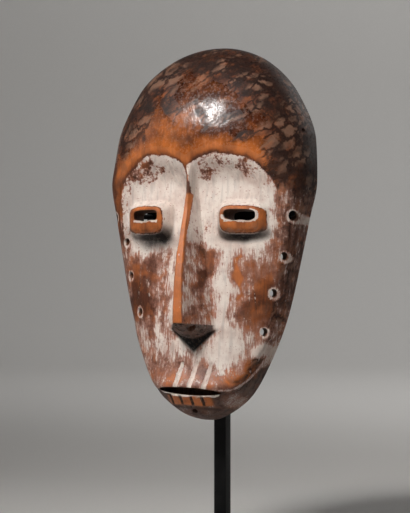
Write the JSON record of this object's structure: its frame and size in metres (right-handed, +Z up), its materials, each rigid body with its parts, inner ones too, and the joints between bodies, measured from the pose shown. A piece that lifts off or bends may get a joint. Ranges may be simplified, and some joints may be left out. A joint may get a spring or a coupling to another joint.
{
  "type": "carved wooden mask on stand",
  "caption": "Oval carved wooden mask with a hollow back, heart-shaped face, slotted block eyes and long wedge nose, leaning back a little on a black steel post and plate.",
  "frame": {"origin": "middle of the stand plate's underside", "axes": "+Z up, the face looks along -Y, +X is the mask's own left"},
  "size_m": [0.1666, 0.1175, 0.4019],
  "materials": {
    "wood": "waxed, with worn white kaolin",
    "black_steel": "matt black"
  },
  "bodies": {
    "root": {"mask": "wood", "stand_post": "black_steel", "stand_plate": "black_steel"}
  },
  "joints": []
}
